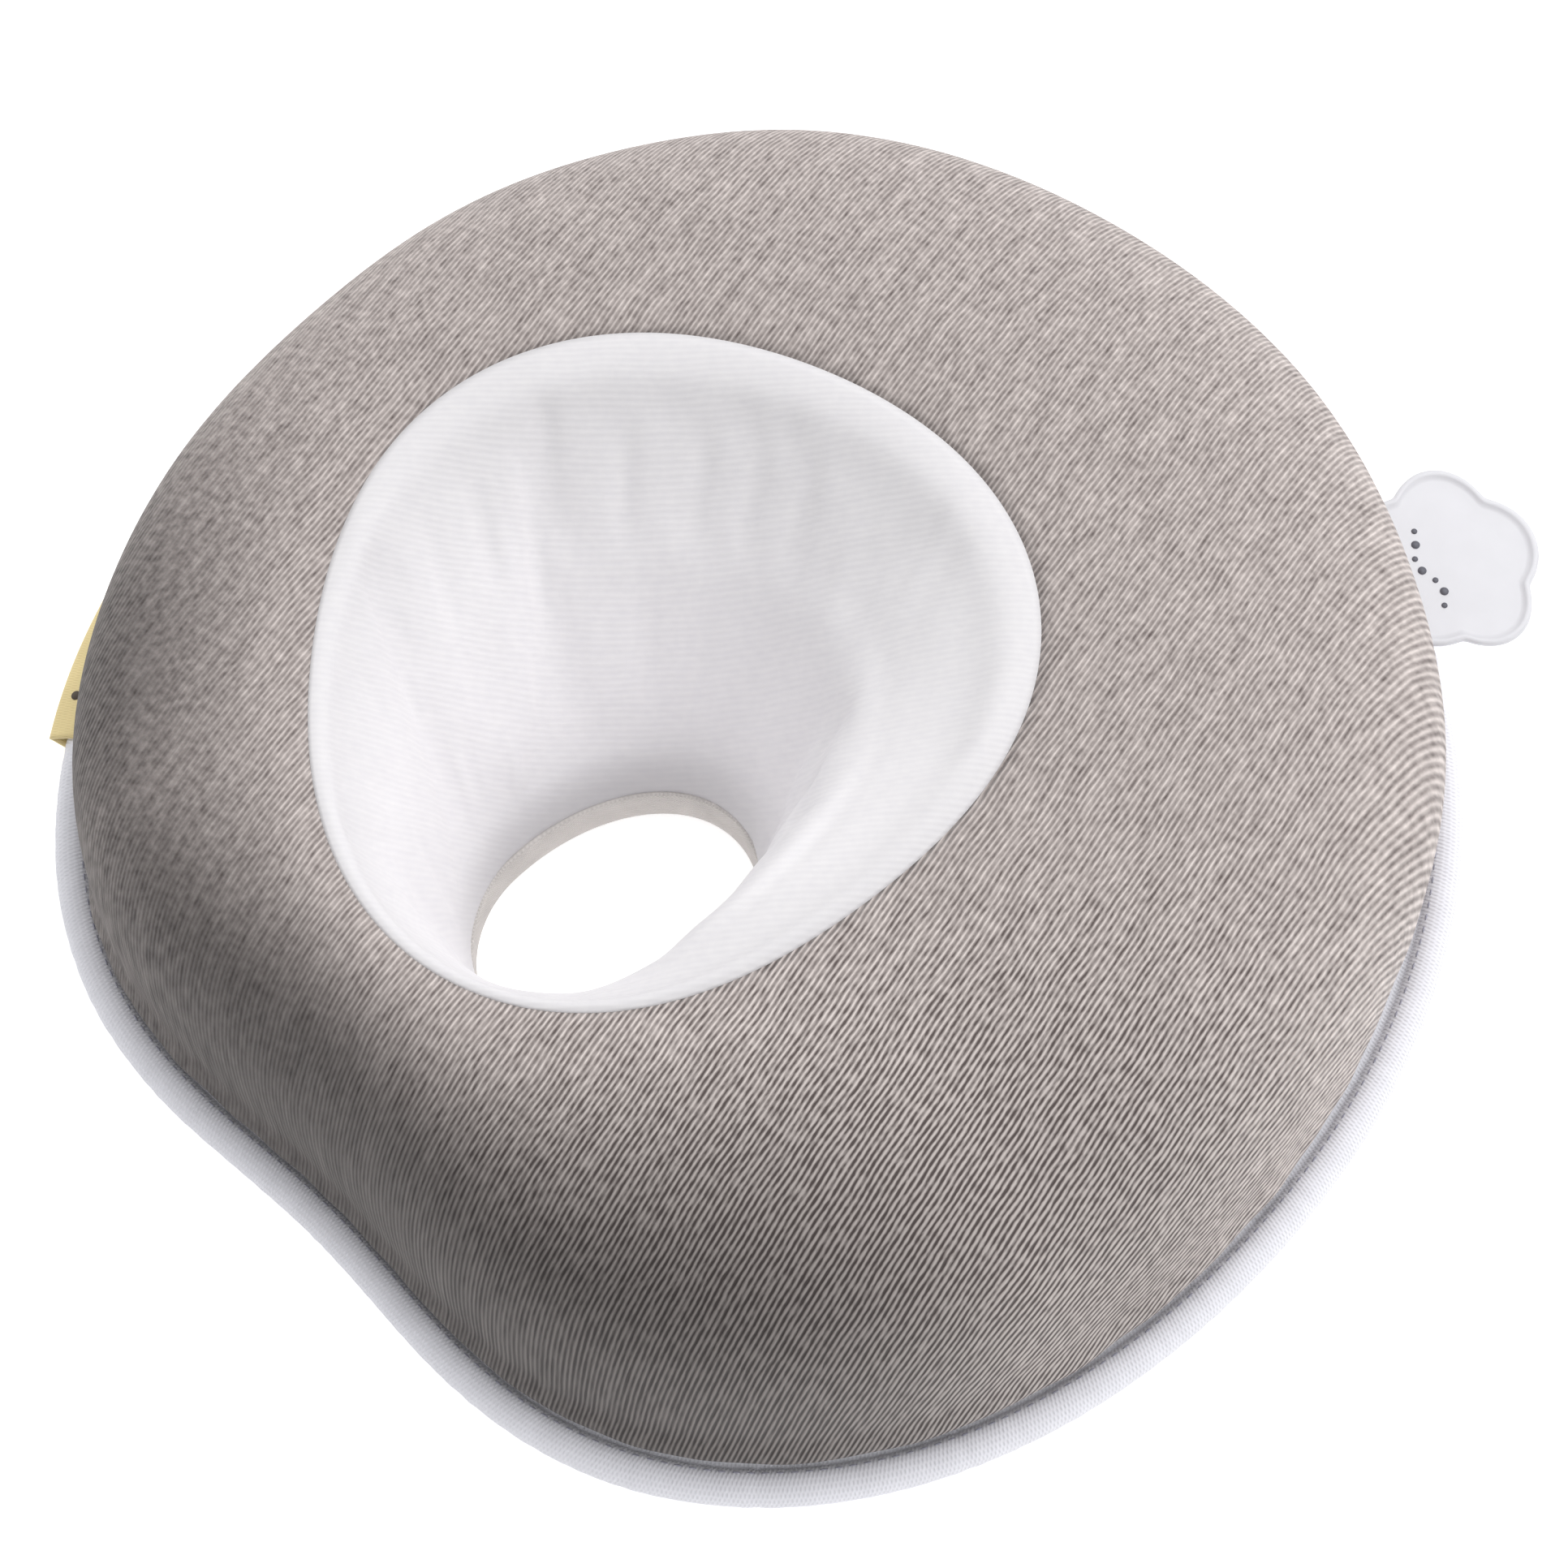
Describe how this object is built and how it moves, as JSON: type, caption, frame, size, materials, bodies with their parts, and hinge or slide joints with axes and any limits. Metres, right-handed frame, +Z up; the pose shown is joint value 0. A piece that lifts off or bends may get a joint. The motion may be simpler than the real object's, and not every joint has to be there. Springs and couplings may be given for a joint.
{
  "type": "baby head support pillow",
  "caption": "Round baby head support pillow with a funnel-shaped dish, a through-hole, a piped edge, a neck notch, side tags and a zip across the base.",
  "frame": {"origin": "on the base plane, below the middle of the whole part's box", "axes": "+Z up out of the dish, +Y towards the head side, -Y towards the neck notch, +X to the right seen from above"},
  "size_m": [0.24, 0.2474, 0.0725],
  "materials": {
    "foam": "soft moulded polyurethane foam",
    "grey_knit": "fine ribbed grey melange knit",
    "white_knit": "smooth white stretch knit",
    "pale_band": "pale greige mesh band",
    "piping": "smooth white sateen",
    "filler_cord": "soft filler cord",
    "base_mesh": "off-white air mesh",
    "zip_tape": "woven zip tape",
    "zip_plastic": "moulded white acetal",
    "yellow_satin": "pale yellow satin ribbon",
    "milky_vinyl": "milky soft vinyl with a welded rim"
  },
  "bodies": {
    "pillow": {"foam_core": "foam", "top_panel": "grey_knit", "dish_panel": "white_knit", "hole_band": "pale_band", "piping_cover": "piping", "piping_cord": "filler_cord", "base_panel_head": "base_mesh", "base_panel_neck": "base_mesh", "zip_tape_head": "zip_tape", "zip_tape_neck": "zip_tape", "zip_teeth_head": "zip_plastic", "zip_teeth_neck": "zip_plastic", "zip_top_stop_head": "zip_plastic", "zip_top_stop_neck": "zip_plastic", "zip_bottom_stop": "zip_plastic", "side_label": "yellow_satin"},
    "slider": {"zip_slider": "zip_plastic"},
    "pull": {"zip_pull": "zip_plastic"},
    "tag": {"cloud_tag": "milky_vinyl"}
  },
  "joints": [
    {"name": "zip_slide", "type": "slide", "parent": "pillow", "child": "slider", "axis": [-1, 0, 0], "range_m": [0, 0.15]},
    {"name": "pull_swing", "type": "hinge", "parent": "slider", "child": "pull", "pos_m": [0.07526, 0.02544, 0.00115], "axis": [0, -1, 0], "range_deg": [0, 160]},
    {"name": "tag_flap", "type": "hinge", "parent": "pillow", "child": "tag", "pos_m": [0.05234, 0.09469, 0.0088], "axis": [0.9026, -0.4304, 0], "range_deg": [0, 70]}
  ]
}
